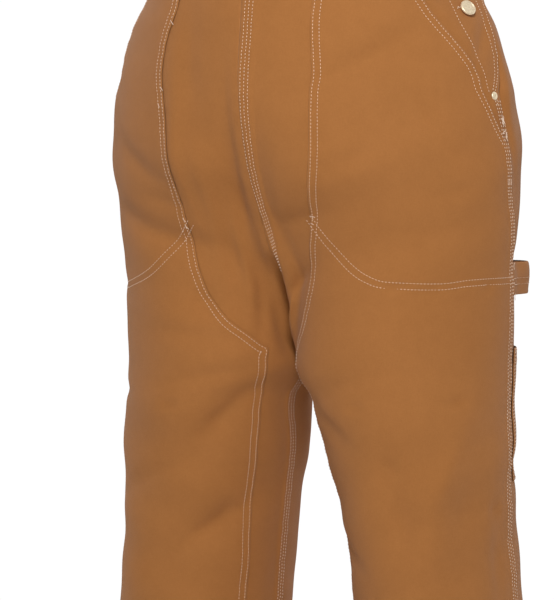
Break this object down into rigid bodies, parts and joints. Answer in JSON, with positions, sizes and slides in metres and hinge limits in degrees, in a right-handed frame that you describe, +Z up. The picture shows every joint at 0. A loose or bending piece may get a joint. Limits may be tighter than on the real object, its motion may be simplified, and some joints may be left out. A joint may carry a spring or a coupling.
{
  "type": "overalls",
  "caption": "Work overalls of brown cotton duck with double fronts, bib, high back and straps, filled out as worn with no wearer.",
  "frame": {"origin": "midway between the two straps, at the underside of each strap where it lies on the shoulder", "axes": "+Z up, -Y the wearer's front, +X the wearer's left"},
  "size_m": [0.5246, 0.3074, 1.5754],
  "materials": {
    "duck": "brown cotton duck, plain dense weave, matt",
    "brass": "pale antique brass, worn"
  },
  "bodies": {
    "root": {"front_left": "duck", "front_right": "duck", "back_left": "duck", "back_right": "duck", "double_front_left": "duck", "double_front_right": "duck", "side_placket_left": "duck", "side_placket_right": "duck", "bib_front": "duck", "back_bib": "duck", "strap_left": "duck", "strap_right": "duck", "hammer_loop": "duck", "tool_pocket": "duck", "side_button_lower_left": "brass", "side_button_upper_left": "brass", "side_button_lower_right": "brass", "side_button_upper_right": "brass", "rivet_left": "brass", "rivet_right": "brass", "bib_button_left": "brass", "bib_button_right": "brass", "buckle_left": "brass", "buckle_right": "brass"}
  },
  "joints": []
}
